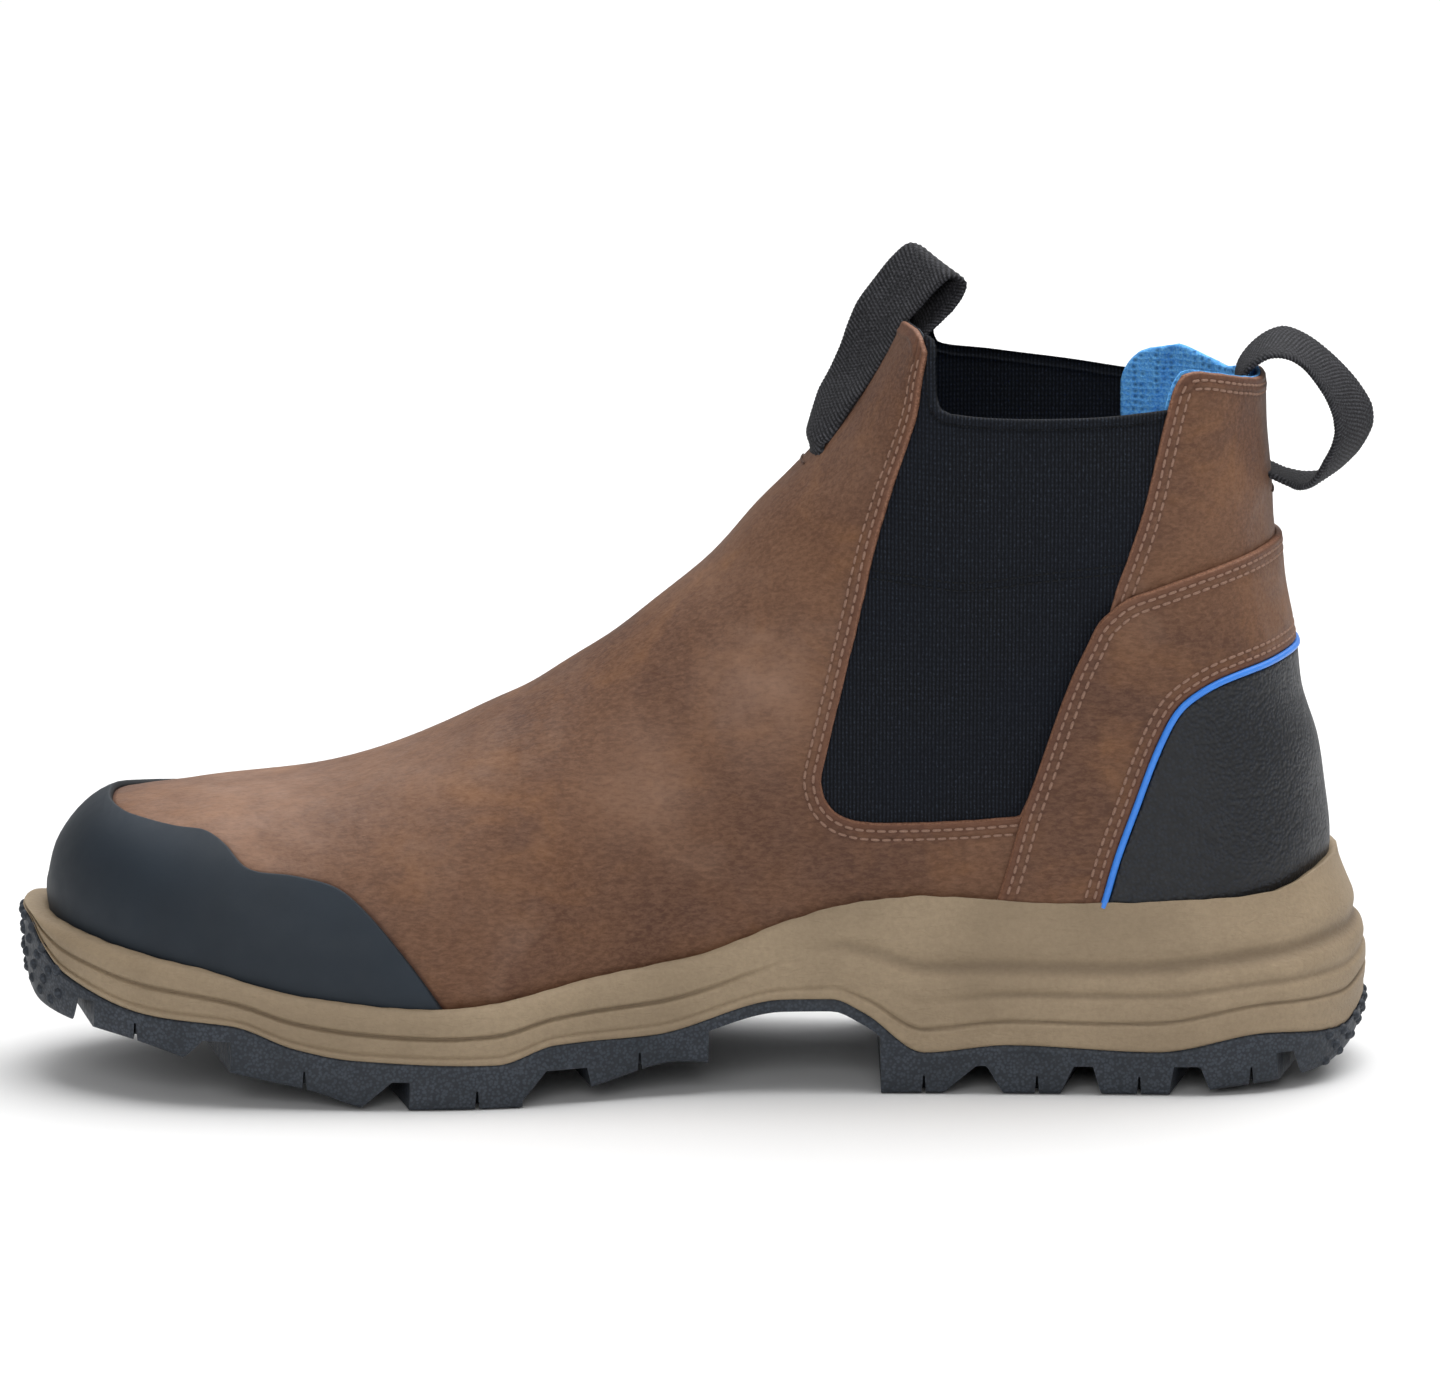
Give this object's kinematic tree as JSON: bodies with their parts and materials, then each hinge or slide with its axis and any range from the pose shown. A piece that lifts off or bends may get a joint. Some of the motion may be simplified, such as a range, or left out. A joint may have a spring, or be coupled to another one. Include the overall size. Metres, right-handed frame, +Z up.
{
  "type": "side gore work boot",
  "caption": "Right ankle-high pull-on work boot with elastic side panels, toe and heel overlays, pull loops and a lugged sole, standing empty.",
  "frame": {"origin": "on the floor, under the middle of the boot's bounding box", "axes": "+Z up, toe towards -X, heel towards +X, medial side towards -Y"},
  "size_m": [0.3084, 0.112, 0.1888],
  "materials": {
    "outsole_rubber": "matte moulded rubber",
    "midsole_foam": "matte moulded foam with a fine grain",
    "insole_cloth": "brushed cloth over foam",
    "leather": "oiled nubuck with a soft sheen",
    "elastic": "fine ribbed elastic",
    "toe_sheet": "smooth satin",
    "counter_sheet": "pebbled satin",
    "piping": "satin",
    "webbing": "ribbed webbing",
    "lining": "open knitted mesh",
    "thread": "waxed thread"
  },
  "bodies": {
    "root": {"outsole": "outsole_rubber", "midsole": "midsole_foam", "insole": "insole_cloth", "upper": "leather", "gore_medial": "elastic", "gore_lateral": "elastic", "toe_cap": "toe_sheet", "counter_surround": "leather", "heel_counter": "counter_sheet", "piping": "piping", "front_loop": "webbing", "back_loop": "webbing"}
  },
  "joints": []
}
